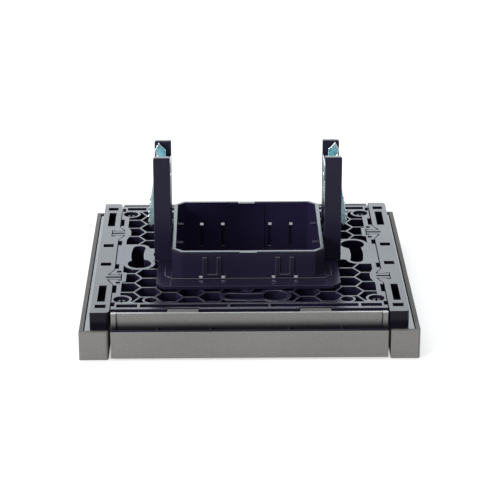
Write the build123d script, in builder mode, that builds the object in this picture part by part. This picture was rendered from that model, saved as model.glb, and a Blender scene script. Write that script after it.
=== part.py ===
# Blank plate with a rear box and claw fixing, lying on its face with its back up.
# The origin is the middle of the face, +Z points into the wall and +Y to the far edge.
# Sizes are in millimetres.
import os
from math import cos, radians, sin, sqrt

from build123d import *

# Whole plate
plate_width = 87.0
plate_depth = 87.0
lip_top = 7.7  # back edge of the grey rim
wall_plane = 11.7  # back of the frame and rails, which lies on the wall

# Gaps
slip_gap = 0.3  # between parts that drop into each other
split_gap = 0.2  # along the split line between the frame and the rails
trim_groove = 0.6  # open groove between the cover and each trim
trim_fit = 0.1  # between each rail's base and its trim
run_gap = 0.05  # running fit of the claw screw and the trunnions

# End trims
trim_width = 7.5
trim_skin = 1.6
trim_wall = 1.2
trim_end_wall = 1.2
trim_corner = 0.8

# Blank cover
cover_recess = 0.3  # the cover's face stands back from the trims
cover_skin = 1.8
lip_wall = 1.3
channel_width = 1.8  # between each lip and its skirt
skirt_wall = 0.8
skirt_drop = 0.2  # skirt edge below the wall plane
pillar_width = 1.4
pillar_proud = 0.35
pillar_groove = 0.25  # between each pillar and the skirt
channel_ribs_x = (10.0, 23.6)
channel_rib = 0.7
channel_rib_drop = 0.6
tab_x = 17.0
tab_width = 8.0
tab_thick = 1.2
tab_bite = 0.5  # how far a snap tab reaches into the frame's bar
seat_ribs_x = (11.0, 30.0)
seat_rib = 1.2
seat_rib_height = 0.9

# Support frame
split_inset = 0.3  # split line inside the trim's inner edge
frame_gap = 1.6  # dark gap between the skirt and the frame
frame_floor = 1.6
rim_bar = 1.2
rim_slot = 2.0
inner_bar = 1.0
side_bar = 2.2
rim_ribs_x = (5.2, 28.4, 34.4)
rim_rib = 0.7
notch_depth = 0.9
notches = ((8.7, 3.2), (24.6, 5.0), (34.8, 2.4))  # middle and length along each side
opening_gap_x = 1.0  # round the rear box
opening_gap_y = 2.0
opening_corner = 2.5
opening_wall = 1.6

# Honeycomb
hex_flat = 6.45
hex_rib = 0.55
hex_edge_x = 3.7  # outermost cell's middle from the frame's side
hex_edge_y = 8.03  # outermost cell's middle from the frame's end
hex_columns = 6
hex_rows = 4
pocket_least_area = 1.5

# Keyhole slots
fixing_circle = 60.0
key_hole_r = 3.2
key_slot_r = 1.7
key_hole_angle = 13.0
key_slot_angle = -9.0
key_collar = 1.1

# Bosses and corner screws
boss_inset_x = 10.5  # from the plate's side
boss_inset_y = 12.0  # from the plate's end
boss_r = 2.75
boss_bore_r = 2.05
boss_seat_depth = 3.2
spare_boss_inset_x = 18.1
spare_boss_inset_y = 11.5
spare_boss_r = 2.2
spare_bore_r = 1.6
spare_bore_depth = 6.0
corner_head_r = 1.65
corner_head_sink = 0.6
corner_shank_r = 1.2
corner_cross_length = 2.3
corner_cross_width = 0.5
corner_cross_depth = 1.0

# Jigsaw joints between the frame and the rails
lock_y = 16.3
flare_base_half = 4.9
flare_tip_half = 1.9
flare_depth = 1.3
flare_root = 0.6
tongue_half = 1.6
tongue_reach = 1.95
tongue_root = 0.8
barb_half = 2.1
barb_length = 0.45
slit_half = 0.35
socket_wall = 1.0
relief_size = 1.1

# End rails
rail_width = 5.0
rail_end_inset = 3.3  # rail end from the plate's edge
rail_corner = 1.2
rail_shelf_top = 7.4
rail_base_inset = 0.2
rail_core_wall = 1.2
rail_core_roof = 1.2
rail_core_bays = 4
rail_pocket_depth = 3.6
rail_pockets = ((6.9, 2.2, 2.7), (27.4, 10.8, 1.9), (35.95, 2.1, 2.7))  # middle, length, width
rail_pocket_offset = 2.5  # pocket middle from the rail's inner face

# Rear box
flange_side = 1.4  # beyond the claw screws
flange_end = 5.7  # beyond the box's end walls
flange_thick = 1.0
flange_chamfer = 2.0
step_side = 1.9  # beyond the box's walls
step_end = 1.1
step_chamfer = 2.1
step_height = 0.3
box_half_x = 20.2
box_half_y = 19.6
box_wall = 1.1
box_corner = 2.6
box_top = 20.0
box_floor = 1.2
box_floor_rise = 0.4  # box floor above the frame's underside
pilaster_half = 5.1
pilaster_thick = 0.4
pilaster_drop = 0.3
rim_notch_width = 4.6
rim_notch_depth = 0.5
snap_x = 9.6
snap_slot_offset = 2.95
snap_slot = 0.9
snap_slot_height = 2.4
snap_groove_depth = 0.4
snap_groove_height = 6.0
snap_rib_outer = 4.9
snap_rib_inner = 2.5
snap_rib_foot = 0.6
snap_rib_proud = 0.4
snap_rib_bottom = 0.25  # above the step
snap_rib_height = 5.4
ledge_y = 7.0
ledge_width = 1.6
ledge_reach = 1.7
ledge_thick = 0.6
ledge_drop = 2.0

# Claw legs
leg_gap = 0.35  # between the box and each leg
leg_width = 4.5
leg_half_y = 7.9
leg_wall = 1.4
leg_top = 42.1
leg_top_chamfer = 0.4
leg_foot = 1.6
leg_foot_flare = 0.3
leg_flare_top = 24.0
ramp_rise = 3.8
ramp_flat = 0.55
ramp_inner_y = 2.6

# Claw screws and nuts
claw_screw_r = 1.25
claw_screw_top = 37.2
claw_head_r = 2.2
claw_head_height = 2.0
claw_head_gap = 0.1
nut_width = 3.8
nut_height = 2.8
nut_top_gap = 0.1
trunnion_r = 0.7

# Claws, as distances out from the claw screw and heights over the plate's face
claw_sheet = 0.8
claw_half_y = 5.5
claw_back = 0.1  # flange of the claw inside the leg's inner face
claw_flange = 0.6
claw_flange_reach = 2.8
claw_flange_foot = 24.0
claw_flange_gap = 0.6  # flange below the nut
bridge_foot = 37.7
bridge_height = 0.6
claw_shoulder_x = -0.8
claw_shoulder_z = 40.2
claw_tip = 42.0
claw_tip_x = 1.1
claw_barb_x = 2.2
claw_barb_z = 40.0
claw_neck_x = 1.8
claw_neck_z = 39.0
claw_flare_x = 2.5
claw_flare_z = 32.3
claw_tooth_x = 4.1
claw_tooth_z = 24.8
claw_tooth_pitch = 1.6
claw_tooth_depth = 0.6
claw_toe_x = 3.2
claw_toe_z = 21.9
claw_leaf_width = 2.4

# Places worked out from the sizes above
trim_inner_x = plate_width / 2 - trim_width
cover_half_x = trim_inner_x - trim_groove
cover_inside = cover_recess + cover_skin
pillar_groove_x = cover_half_x - pillar_width - pillar_groove / 2
lip_inner_y = plate_depth / 2 - lip_wall
skirt_outer_y = lip_inner_y - channel_width
skirt_inner_y = skirt_outer_y - skirt_wall
skirt_top = wall_plane - skirt_drop

split_x = trim_inner_x - split_inset
frame_half_x = split_x - split_gap / 2
frame_half_y = skirt_inner_y - frame_gap
frame_bottom = cover_inside + seat_rib_height
frame_height = wall_plane - frame_bottom
pocket_depth = frame_height - frame_floor
field_half_x = frame_half_x - side_bar
field_half_y = frame_half_y - rim_bar - rim_slot - inner_bar
rim_slot_y = frame_half_y - rim_bar - rim_slot / 2
lock_floor = rail_shelf_top - split_gap

boss_x = plate_width / 2 - boss_inset_x
boss_y = plate_depth / 2 - boss_inset_y
spare_boss_x = plate_width / 2 - spare_boss_inset_x
spare_boss_y = plate_depth / 2 - spare_boss_inset_y

fixing_r = fixing_circle / 2
key_low_y = fixing_r * sin(radians(key_slot_angle))
key_high_y = fixing_r * sin(radians(key_hole_angle))
land_inner_x = fixing_r * cos(radians(key_hole_angle)) - key_slot_r - key_collar

rail_inner_x = split_x + split_gap / 2
rail_half_y = plate_depth / 2 - rail_end_inset
rail_base_x = trim_inner_x + rail_base_inset
rail_base_outer_x = plate_width / 2 - trim_wall - trim_fit
rail_base_half_y = plate_depth / 2 - trim_end_wall - trim_fit

box_bottom = frame_bottom + box_floor_rise
box_inner_x = box_half_x - box_wall
box_inner_y = box_half_y - box_wall
box_inner_corner = box_corner - box_wall * (2 - sqrt(2))  # keeps the wall even round the cut corners
step_half_x = box_half_x + step_side
step_half_y = box_half_y + step_end
step_top = wall_plane + flange_thick + step_height
opening_half_x = box_half_x + opening_gap_x
opening_half_y = box_half_y + opening_gap_y
claw_x = box_half_x + leg_gap + leg_width / 2
flange_half_x = claw_x + flange_side
flange_half_y = box_half_y + flange_end
leg_inner_x = claw_x - leg_width / 2
leg_outer_x = claw_x + leg_width / 2
screw_hole_r = claw_screw_r + slip_gap
nut_top = claw_screw_top - nut_top_gap
pivot_z = nut_top - nut_height / 2
claw_inner_x = leg_inner_x + claw_back

corner_points = [(x, y) for x in (boss_x, -boss_x) for y in (boss_y, -boss_y)]
spare_points = [(x, y) for x in (spare_boss_x, -spare_boss_x) for y in (spare_boss_y, -spare_boss_y)]


# Outlines of the jigsaw joints, drawn for the right-hand split line.
# toward is +1 where the shape pushes into the rail and -1 where it pushes into the frame.
def flare_outline(y, toward, grow):
    root_x = split_x - toward * flare_root
    tip_x = split_x + toward * (flare_depth + grow)
    base = flare_base_half + grow
    tip = flare_tip_half + grow
    return [
        (root_x, y - base),
        (split_x, y - base),
        (tip_x, y - tip),
        (tip_x, y + tip),
        (split_x, y + base),
        (root_x, y + base),
    ]


def tongue_outline(y, toward, grow):
    root_x = split_x - toward * (flare_depth + tongue_root)
    barb_x = split_x + toward * (tongue_reach - barb_length - grow)
    tip_x = split_x + toward * (tongue_reach + grow)
    half = tongue_half + grow
    barb = barb_half + grow
    return [
        (root_x, y - half),
        (barb_x, y - half),
        (barb_x, y - barb),
        (tip_x, y - barb),
        (tip_x, y + barb),
        (barb_x, y + barb),
        (barb_x, y + half),
        (root_x, y + half),
    ]


def slit_outline(y, toward):
    root_x = split_x - toward * (flare_depth + tongue_root)
    tip_x = split_x + toward * (tongue_reach + split_gap)
    return [
        (root_x, y - slit_half),
        (tip_x, y - slit_half),
        (tip_x, y + slit_half),
        (root_x, y + slit_half),
    ]


os.makedirs("parts", exist_ok=True)

# Blank cover: face plate with a lip and a taller skirt along its front and back edges
with BuildPart() as blank_cover:
    with BuildSketch(Plane.XY.offset(cover_recess)):
        Rectangle(2 * cover_half_x, plate_depth)
    extrude(amount=cover_skin)
    with BuildSketch(Plane.XY.offset(cover_recess)):
        with GridLocations(0, plate_depth - lip_wall, 1, 2):
            Rectangle(2 * cover_half_x, lip_wall)
    extrude(amount=lip_top - cover_recess)
    with BuildSketch(Plane.XY.offset(cover_recess)):
        with GridLocations(0, skirt_outer_y + skirt_inner_y, 1, 2):
            Rectangle(2 * cover_half_x, skirt_wall)
        with GridLocations(2 * cover_half_x - pillar_width, skirt_outer_y + skirt_inner_y, 2, 2):
            Rectangle(pillar_width, skirt_wall + 2 * pillar_proud)
    extrude(amount=skirt_top - cover_recess)
    with BuildSketch(Plane.XY.offset(skirt_top)):
        with GridLocations(2 * pillar_groove_x, 2 * (skirt_outer_y - pillar_proud / 2), 2, 2):
            Rectangle(pillar_groove, pillar_proud)
    extrude(amount=cover_inside - skirt_top, mode=Mode.SUBTRACT)
    with BuildSketch(Plane.XY.offset(cover_recess)):
        for rib_x in channel_ribs_x:
            with GridLocations(2 * rib_x, lip_inner_y + skirt_outer_y, 2, 2):
                Rectangle(channel_rib, channel_width)
    extrude(amount=lip_top - channel_rib_drop - cover_recess)
    with BuildSketch(Plane.XY.offset(skirt_top)):
        with GridLocations(2 * tab_x, 2 * skirt_inner_y - frame_gap - tab_bite, 2, 2):
            Rectangle(tab_width, frame_gap + tab_bite)
    extrude(amount=-tab_thick)
    with BuildSketch(Plane.XY.offset(cover_inside)):
        for rib_x in seat_ribs_x:
            with GridLocations(2 * rib_x, 0, 2, 1):
                Rectangle(seat_rib, 2 * frame_half_y)
    extrude(amount=seat_rib_height)
blank_cover.part.label = "blank_cover"
export_step(blank_cover.part, "parts/blank_cover.step")

# Honeycomb pockets: cells mirrored into the four quarters, cut back from everything solid
hex_side = hex_flat / sqrt(3)
hex_cells = []
for column in range(hex_columns):
    cell_x = frame_half_x - hex_edge_x - column * 1.5 * hex_side
    for row in range(-1, hex_rows):
        cell_y = frame_half_y - hex_edge_y - (row + column % 2 / 2) * hex_flat
        hex_cells += [(cell_x, cell_y), (-cell_x, cell_y), (cell_x, -cell_y), (-cell_x, -cell_y)]

key_arc = CenterArc((0, 0), fixing_r, key_slot_angle, key_hole_angle - key_slot_angle)

with BuildSketch(Plane.XY.offset(wall_plane)) as honeycomb:
    with Locations(*hex_cells):
        RegularPolygon(hex_side - hex_rib / sqrt(3), 6)
    Rectangle(2 * field_half_x, 2 * field_half_y, mode=Mode.INTERSECT)
    RectangleRounded(
        2 * (opening_half_x + opening_wall),
        2 * (opening_half_y + opening_wall),
        opening_corner + opening_wall,
        mode=Mode.SUBTRACT,
    )
    with Locations(*corner_points):
        Circle(boss_r, mode=Mode.SUBTRACT)
    with Locations(*spare_points):
        Circle(spare_boss_r, mode=Mode.SUBTRACT)
    with PolarLocations(0, 4):
        SlotArc(key_arc, 2 * (key_slot_r + key_collar), mode=Mode.SUBTRACT)
    with PolarLocations(fixing_r, 4, key_hole_angle):
        Circle(key_hole_r + key_collar, mode=Mode.SUBTRACT)
    with PolarLocations(0, 2):
        with Locations(((land_inner_x + frame_half_x) / 2, (key_low_y + key_high_y) / 2)):
            Rectangle(frame_half_x - land_inner_x, key_high_y - key_low_y, mode=Mode.SUBTRACT)
        Polygon(
            (frame_half_x, flare_base_half - lock_y),
            (field_half_x, flare_base_half - lock_y),
            (field_half_x - socket_wall, tongue_half - lock_y),
            (field_half_x - socket_wall, -tongue_half - lock_y),
            (field_half_x, -flare_base_half - lock_y),
            (frame_half_x, -flare_base_half - lock_y),
            mode=Mode.SUBTRACT,
        )
        with Locations((field_half_x, lock_y)):
            RectangleRounded(
                2 * socket_wall,
                2 * (barb_half + split_gap + socket_wall),
                socket_wall / 2,
                mode=Mode.SUBTRACT,
            )
pockets = [face for face in honeycomb.sketch.faces() if face.area > pocket_least_area]

# Support frame
with BuildPart() as support_frame:
    with BuildSketch(Plane.XY.offset(frame_bottom)):
        Rectangle(2 * frame_half_x, 2 * frame_half_y)
        RectangleRounded(2 * opening_half_x, 2 * opening_half_y, opening_corner, mode=Mode.SUBTRACT)
    extrude(amount=frame_height)
    extrude(pockets, amount=-pocket_depth, mode=Mode.SUBTRACT)
    # Slots along the front and back rims, and notches along the split lines
    with BuildSketch(Plane.XY.offset(wall_plane)):
        with GridLocations(0, 2 * rim_slot_y, 1, 2):
            Rectangle(2 * rim_ribs_x[0] - rim_rib, rim_slot)
        for near_x, far_x in zip(rim_ribs_x, rim_ribs_x[1:]):
            with GridLocations(near_x + far_x, 2 * rim_slot_y, 2, 2):
                Rectangle(far_x - near_x - rim_rib, rim_slot)
        for notch_y, notch_length in notches:
            with GridLocations(2 * frame_half_x - notch_depth, 2 * notch_y, 2, 2):
                Rectangle(notch_depth, notch_length)
    extrude(amount=-pocket_depth, mode=Mode.SUBTRACT)
    # Windows for the cover's snap tabs
    with BuildSketch(Plane.XY.offset(wall_plane)):
        with GridLocations(2 * tab_x, 2 * frame_half_y, 2, 2):
            Rectangle(tab_width + 2 * split_gap, 2 * (tab_bite + split_gap))
    extrude(amount=-(skirt_drop + tab_thick + split_gap), mode=Mode.SUBTRACT)
    # Sockets for the rails' flares and tongues
    with BuildSketch(Plane.XY.offset(wall_plane)):
        with PolarLocations(0, 2):
            Polygon(*flare_outline(-lock_y, -1, split_gap))
            Polygon(*tongue_outline(lock_y, -1, split_gap))
            with Locations((split_x - flare_depth, lock_y)):
                with GridLocations(0, 2 * (barb_half + split_gap + socket_wall) + relief_size, 1, 2):
                    Rectangle(relief_size, relief_size)
    extrude(amount=lock_floor - wall_plane, mode=Mode.SUBTRACT)
    # The frame's own flares and barbed tongues
    with BuildSketch(Plane.XY.offset(rail_shelf_top + split_gap)):
        with PolarLocations(0, 2):
            Polygon(*flare_outline(lock_y, 1, 0))
            Polygon(*tongue_outline(lock_y, -1, split_gap), mode=Mode.SUBTRACT)
            Polygon(*tongue_outline(-lock_y, 1, 0))
            Polygon(*slit_outline(-lock_y, 1), mode=Mode.SUBTRACT)
    extrude(amount=wall_plane - rail_shelf_top - split_gap)
    # Keyholes, screwdriver ways to the claw screws, and boss bores
    with BuildSketch(Plane.XY.offset(wall_plane)):
        with PolarLocations(0, 4):
            SlotArc(key_arc, 2 * key_slot_r)
        with PolarLocations(fixing_r, 4, key_hole_angle):
            Circle(key_hole_r)
        with GridLocations(2 * claw_x, 0, 2, 1):
            Circle(claw_head_r + 2 * slip_gap)
    extrude(amount=-frame_height, mode=Mode.SUBTRACT)
    with Locations(Plane.XY.offset(wall_plane)):
        with Locations(*corner_points):
            CounterBoreHole(corner_shank_r + split_gap, boss_bore_r, boss_seat_depth, frame_height)
        with Locations(*spare_points):
            Hole(spare_bore_r, spare_bore_depth)
support_frame.part.label = "support_frame"
export_step(support_frame.part, "parts/support_frame.step")

# Corner screws with a cross recess
with BuildPart() as corner_screws:
    with BuildSketch(Plane.XY.offset(frame_bottom)):
        with Locations(*corner_points):
            Circle(corner_shank_r)
    extrude(amount=frame_height - boss_seat_depth)
    with BuildSketch(Plane.XY.offset(wall_plane - boss_seat_depth)):
        with Locations(*corner_points):
            Circle(corner_head_r)
    extrude(amount=boss_seat_depth - corner_head_sink)
    with BuildSketch(Plane.XY.offset(wall_plane - corner_head_sink)):
        with Locations(*corner_points):
            Rectangle(corner_cross_length, corner_cross_width)
            Rectangle(corner_cross_width, corner_cross_length)
    extrude(amount=-corner_cross_depth, mode=Mode.SUBTRACT)
corner_screws.part.label = "corner_screws"
export_step(corner_screws.part, "parts/corner_screws.step")

# Rear box with its flange
with BuildPart() as rear_box:
    with BuildSketch(Plane.XY.offset(wall_plane)) as flange:
        Rectangle(2 * flange_half_x, 2 * flange_half_y)
        chamfer(flange.vertices(), flange_chamfer)
    extrude(amount=flange_thick)
    with BuildSketch(Plane.XY.offset(wall_plane)) as step:
        Rectangle(2 * step_half_x, 2 * step_half_y)
        chamfer(step.vertices(), step_chamfer)
        with GridLocations(2 * claw_x, 0, 2, 1):
            Rectangle(2 * (flange_half_x - claw_x), 2 * leg_half_y)
    extrude(amount=step_top - wall_plane)
    with BuildSketch(Plane.XY.offset(box_bottom)) as box_outside:
        Rectangle(2 * box_half_x, 2 * box_half_y)
        chamfer(box_outside.vertices(), box_corner)
    extrude(amount=box_top - box_bottom)
    with BuildSketch(Plane.XY.offset(box_top)) as box_inside:
        Rectangle(2 * box_inner_x, 2 * box_inner_y)
        chamfer(box_inside.vertices(), box_inner_corner)
        with GridLocations(0, 2 * box_inner_y, 1, 2):
            Rectangle(2 * pilaster_half, 2 * pilaster_thick, mode=Mode.SUBTRACT)
    extrude(amount=box_bottom + box_floor - box_top, mode=Mode.SUBTRACT)
    # Pilasters stop short of the rim, and the rim dips in the middle of each long wall
    with BuildSketch(Plane.XY.offset(box_top)):
        with GridLocations(0, 2 * box_inner_y, 1, 2):
            Rectangle(2 * pilaster_half, 2 * pilaster_thick)
        Rectangle(2 * box_inner_x, 2 * box_inner_y, mode=Mode.INTERSECT)
    extrude(amount=-pilaster_drop, mode=Mode.SUBTRACT)
    with BuildSketch(Plane.XY.offset(box_top)):
        Rectangle(rim_notch_width, 2 * box_half_y)
    extrude(amount=-rim_notch_depth, mode=Mode.SUBTRACT)
    # Snap tongues: slots through the wall, grooves below them inside, a raised frame outside
    for wall_side in (1, -1):
        with BuildSketch(Plane.XZ.offset(wall_side * box_half_y)):
            with GridLocations(2 * snap_x, 0, 2, 1):
                with Locations((0, step_top + snap_rib_bottom + snap_rib_height / 2)):
                    Rectangle(snap_rib_outer, snap_rib_height)
                    with Locations((0, snap_rib_foot)):
                        Rectangle(snap_rib_inner, snap_rib_height, mode=Mode.SUBTRACT)
        extrude(amount=wall_side * snap_rib_proud)
        with BuildSketch(Plane.XZ.offset(wall_side * box_half_y)):
            with GridLocations(2 * snap_x, 0, 2, 1):
                with GridLocations(2 * snap_slot_offset, 0, 2, 1):
                    with Locations((0, step_top + snap_slot_height / 2)):
                        Rectangle(snap_slot, snap_slot_height)
        extrude(amount=-wall_side * box_wall, mode=Mode.SUBTRACT)
        with BuildSketch(Plane.XZ.offset(wall_side * box_inner_y)):
            with GridLocations(2 * snap_x, 0, 2, 1):
                with GridLocations(2 * snap_slot_offset, 0, 2, 1):
                    with Locations((0, step_top - snap_groove_height / 2)):
                        Rectangle(snap_slot, snap_groove_height)
        extrude(amount=wall_side * snap_groove_depth, mode=Mode.SUBTRACT)
    # Small ledges inside the side walls
    with BuildSketch(Plane.XY.offset(box_top - ledge_drop)):
        with GridLocations(2 * box_inner_x - ledge_reach, 2 * ledge_y, 2, 2):
            Rectangle(ledge_reach, ledge_width)
    extrude(amount=-ledge_thick)
    with BuildSketch(Plane.XY.offset(step_top)):
        with GridLocations(2 * claw_x, 0, 2, 1):
            Circle(screw_hole_r)
    extrude(amount=wall_plane - step_top, mode=Mode.SUBTRACT)
rear_box.part.label = "rear_box"
export_step(rear_box.part, "parts/rear_box.step")

# Pieces that come in a right-hand and a left-hand copy, turned half round about Z
for side, sign in (("right", 1), ("left", -1)):
    top_view = Plane(origin=(0, 0, 0), x_dir=(sign, 0, 0), z_dir=(0, 0, 1))
    front_view = Plane(origin=(0, 0, 0), x_dir=(sign, 0, 0), z_dir=(0, -sign, 0))
    screw_view = Plane(origin=(sign * claw_x, 0, 0), x_dir=(sign, 0, 0), z_dir=(0, -sign, 0))

    # End trim: strip with an outer wall and two end walls
    trim_middle = (trim_inner_x + trim_width / 2, 0)
    with BuildPart() as end_trim:
        with BuildSketch(top_view) as trim_plan:
            with Locations(trim_middle):
                Rectangle(trim_width, plate_depth)
            fillet(trim_plan.vertices().group_by(Axis.X)[-1 if sign > 0 else 0], trim_corner)
        extrude(amount=lip_top)
        with BuildSketch(top_view.offset(lip_top)):
            with Locations((trim_inner_x + (trim_width - trim_wall) / 2, 0)):
                Rectangle(trim_width - trim_wall, plate_depth - 2 * trim_end_wall)
        extrude(amount=trim_skin - lip_top, mode=Mode.SUBTRACT)
    end_trim.part.label = side + "_end_trim"
    export_step(end_trim.part, "parts/" + side + "_end_trim.step")

    # End rail: a base that fills the trim and a higher bar along the split line
    with BuildPart() as end_rail:
        with BuildSketch(top_view.offset(trim_skin)):
            with Locations(((rail_base_x + rail_base_outer_x) / 2, 0)):
                Rectangle(rail_base_outer_x - rail_base_x, 2 * rail_base_half_y)
        extrude(amount=rail_shelf_top - trim_skin)
        with BuildSketch(top_view.offset(rail_shelf_top)) as rail_plan:
            with Locations((rail_inner_x + rail_width / 2, 0)):
                Rectangle(rail_width, 2 * rail_half_y)
            fillet(rail_plan.vertices().group_by(Axis.X)[-1 if sign > 0 else 0], rail_corner)
            Polygon(*flare_outline(lock_y, 1, split_gap), mode=Mode.SUBTRACT)
            Polygon(*tongue_outline(lock_y, -1, 0))
            Polygon(*slit_outline(lock_y, -1), mode=Mode.SUBTRACT)
            Polygon(*flare_outline(-lock_y, -1, 0))
            Polygon(*tongue_outline(-lock_y, 1, split_gap), mode=Mode.SUBTRACT)
        extrude(amount=wall_plane - rail_shelf_top)
        with BuildSketch(top_view.offset(wall_plane)):
            for pocket_y, pocket_length, pocket_width in rail_pockets:
                with Locations((rail_inner_x + rail_pocket_offset, 0)):
                    with GridLocations(0, 2 * pocket_y, 1, 2):
                        Rectangle(pocket_width, pocket_length)
        extrude(amount=-rail_pocket_depth, mode=Mode.SUBTRACT)
        # Cored underside
        core_pitch = (2 * rail_base_half_y - rail_core_wall) / rail_core_bays
        with BuildSketch(top_view.offset(trim_skin)):
            with Locations(((rail_base_x + rail_base_outer_x) / 2, 0)):
                with GridLocations(0, core_pitch, 1, rail_core_bays):
                    Rectangle(
                        rail_base_outer_x - rail_base_x - 2 * rail_core_wall,
                        core_pitch - rail_core_wall,
                    )
        extrude(amount=rail_shelf_top - rail_core_roof - trim_skin, mode=Mode.SUBTRACT)
    end_rail.part.label = side + "_end_rail"
    export_step(end_rail.part, "parts/" + side + "_end_rail.step")

    # Claw leg: two tall walls on a foot, with ramps that push the claw outwards
    with BuildPart() as claw_leg:
        for wall_start in (leg_half_y - leg_wall, -leg_half_y):
            with BuildSketch(front_view.offset(wall_start)):
                Polygon(
                    (leg_inner_x - leg_foot_flare, step_top),
                    (leg_inner_x, leg_flare_top),
                    (leg_inner_x, leg_top),
                    (leg_outer_x - leg_top_chamfer, leg_top),
                    (leg_outer_x, leg_top - leg_top_chamfer),
                    (leg_outer_x, step_top),
                )
            extrude(amount=leg_wall)
        for ramp_start in (ramp_inner_y, leg_wall - leg_half_y):
            with BuildSketch(front_view.offset(ramp_start)):
                Polygon(
                    (leg_inner_x, step_top),
                    (leg_inner_x, step_top + leg_foot + ramp_rise),
                    (leg_inner_x + ramp_flat, step_top + leg_foot + ramp_rise),
                    (leg_outer_x, step_top + leg_foot),
                    (leg_outer_x, step_top),
                )
            extrude(amount=leg_half_y - leg_wall - ramp_inner_y)
        with BuildSketch(top_view.offset(step_top)):
            with Locations((claw_x, 0)):
                Rectangle(leg_width, 2 * leg_half_y)
        extrude(amount=leg_foot)
        with BuildSketch(top_view.offset(step_top)):
            with Locations((claw_x, 0)):
                Circle(screw_hole_r)
        extrude(amount=leg_foot, mode=Mode.SUBTRACT)
    claw_leg.part.label = side + "_claw_leg"
    export_step(claw_leg.part, "parts/" + side + "_claw_leg.step")

    # Claw screw, with its head under the flange
    head_top = wall_plane - claw_head_gap
    with BuildPart() as claw_screw:
        with BuildSketch(top_view.offset(head_top)):
            with Locations((claw_x, 0)):
                Circle(claw_head_r)
        extrude(amount=-claw_head_height)
        with BuildSketch(top_view.offset(head_top)):
            with Locations((claw_x, 0)):
                Circle(claw_screw_r)
        extrude(amount=claw_screw_top - head_top)
    claw_screw.part.label = side + "_claw_screw"
    export_step(claw_screw.part, "parts/" + side + "_claw_screw.step")

    # Claw nut: threaded block with a trunnion at each end
    with BuildPart() as claw_nut:
        with BuildSketch(top_view.offset(nut_top)):
            with Locations((claw_x, 0)):
                Rectangle(nut_width, 2 * (claw_half_y - claw_sheet - slip_gap))
        extrude(amount=-nut_height)
        with BuildSketch(front_view):
            with Locations((claw_x, pivot_z)):
                Circle(trunnion_r)
        extrude(amount=claw_half_y, both=True)
        with BuildSketch(top_view.offset(nut_top)):
            with Locations((claw_x, 0)):
                Circle(claw_screw_r + run_gap)
        extrude(amount=-nut_height, mode=Mode.SUBTRACT)
    claw_nut.part.label = side + "_claw_nut"
    export_step(claw_nut.part, "parts/" + side + "_claw_nut.step")

    # Claw: two toothed leaves, turned-in flanges beside the screw and a bridge over the nut
    with BuildPart() as claw:
        for leaf_start in (claw_half_y - claw_sheet, -claw_half_y):
            with BuildSketch(screw_view.offset(leaf_start)):
                Polygon(
                    (claw_inner_x - claw_x, claw_flange_foot),
                    (claw_inner_x - claw_x, bridge_foot + bridge_height),
                    (claw_shoulder_x, bridge_foot + bridge_height),
                    (claw_shoulder_x, claw_shoulder_z),
                    (claw_tip_x, claw_tip),
                    (claw_barb_x, claw_barb_z),
                    (claw_neck_x, claw_neck_z),
                    (claw_flare_x, claw_flare_z),
                    (claw_tooth_x - claw_tooth_depth, claw_tooth_z + claw_tooth_pitch),
                    (claw_tooth_x - claw_tooth_depth / 3, claw_tooth_z + claw_tooth_pitch * 0.8),
                    (claw_tooth_x - claw_tooth_depth, claw_tooth_z + claw_tooth_pitch / 3),
                    (claw_tooth_x, claw_tooth_z),
                    (claw_tooth_x - claw_tooth_depth, claw_tooth_z - claw_tooth_pitch / 3),
                    (claw_tooth_x - claw_tooth_depth / 3, claw_tooth_z - claw_tooth_pitch * 0.8),
                    (claw_toe_x, claw_toe_z),
                    (claw_toe_x - claw_leaf_width, claw_flange_foot),
                )
                with Locations((0, pivot_z)):
                    Circle(trunnion_r + run_gap, mode=Mode.SUBTRACT)
            extrude(amount=claw_sheet)
        flange_top = nut_top - nut_height - claw_flange_gap
        with BuildSketch(top_view.offset(claw_flange_foot)):
            with Locations((claw_inner_x + claw_flange / 2, 0)):
                with GridLocations(0, 2 * claw_half_y - claw_flange_reach, 1, 2):
                    Rectangle(claw_flange, claw_flange_reach)
        extrude(amount=flange_top - claw_flange_foot)
        with BuildSketch(top_view.offset(bridge_foot)):
            with Locations((claw_inner_x + claw_flange / 2, 0)):
                Rectangle(claw_flange, 2 * claw_half_y)
        extrude(amount=bridge_height)
    claw.part.label = side + "_claw"
    export_step(claw.part, "parts/" + side + "_claw.step")
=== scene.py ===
import math

import bmesh
import bpy
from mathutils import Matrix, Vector
from mathutils.geometry import intersect_point_line
from mathutils.kdtree import KDTree


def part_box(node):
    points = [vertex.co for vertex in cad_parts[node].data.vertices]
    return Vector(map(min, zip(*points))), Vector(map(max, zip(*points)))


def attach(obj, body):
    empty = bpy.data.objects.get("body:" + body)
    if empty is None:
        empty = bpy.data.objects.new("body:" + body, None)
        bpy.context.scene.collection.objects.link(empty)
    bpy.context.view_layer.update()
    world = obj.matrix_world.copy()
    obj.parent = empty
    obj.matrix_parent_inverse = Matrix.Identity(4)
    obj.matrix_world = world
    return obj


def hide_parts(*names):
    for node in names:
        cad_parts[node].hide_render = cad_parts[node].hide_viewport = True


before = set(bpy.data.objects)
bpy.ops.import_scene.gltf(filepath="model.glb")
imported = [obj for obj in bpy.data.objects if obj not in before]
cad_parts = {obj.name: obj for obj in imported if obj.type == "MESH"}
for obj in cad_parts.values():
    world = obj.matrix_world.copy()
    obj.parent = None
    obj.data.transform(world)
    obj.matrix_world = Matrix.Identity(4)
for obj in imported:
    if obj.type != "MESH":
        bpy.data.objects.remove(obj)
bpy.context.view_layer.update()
mm = 0.001  # lengths in the settings are in millimetres
sides = ("right", "left")
sharpAngle = math.radians(32)  # steeper corners count as edges
print("frame loaded:", len(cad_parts), "nodes")


# Small helpers for node trees
def placeNode(tree, kind, x, y, **values):
    node = tree.nodes.new(kind)
    node.location = (x, y)
    for name, value in values.items():
        setattr(node, name, value)
    return node


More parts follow.
